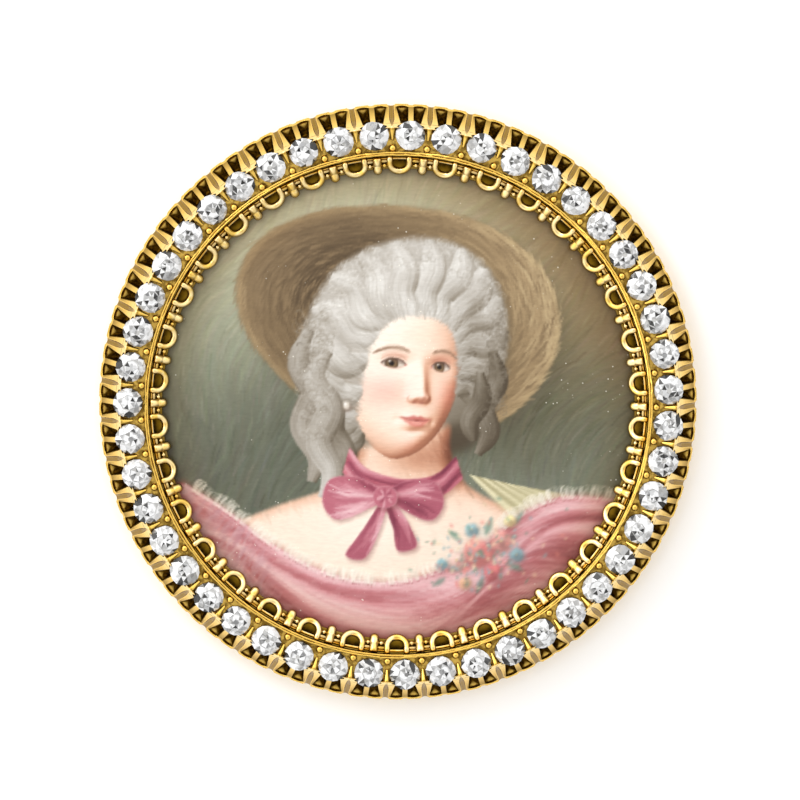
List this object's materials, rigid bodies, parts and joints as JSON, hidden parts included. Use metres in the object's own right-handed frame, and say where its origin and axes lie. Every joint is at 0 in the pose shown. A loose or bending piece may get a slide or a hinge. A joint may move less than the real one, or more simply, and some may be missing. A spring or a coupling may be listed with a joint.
{
  "type": "enamel portrait brooch",
  "caption": "Round gold brooch with a domed enamel portrait plaque in a looped bezel, inside a fluted claw frame set with one row of old mine cut diamonds, with a closed back and a plain pin.",
  "frame": {"origin": "the middle of the flat back rim that the brooch rests on", "axes": "+Z out of the picture's face, +Y to the picture's top, +X to its right"},
  "size_m": [0.044, 0.044, 0.0057],
  "materials": {
    "claw_frame": "polished yellow gold, dark in the flutes",
    "diamonds": "faceted diamond",
    "gallery_bezel": "polished yellow gold",
    "enamel_plaque": "painted and fired enamel under a clear glossy flux",
    "back_plate": "satin yellow gold",
    "brooch_pin": "polished yellow gold"
  },
  "bodies": {
    "root": {"claw_frame": "claw_frame", "diamonds": "diamonds", "gallery_bezel": "gallery_bezel", "enamel_plaque": "enamel_plaque", "back_plate": "back_plate", "brooch_pin": "brooch_pin"}
  },
  "joints": []
}
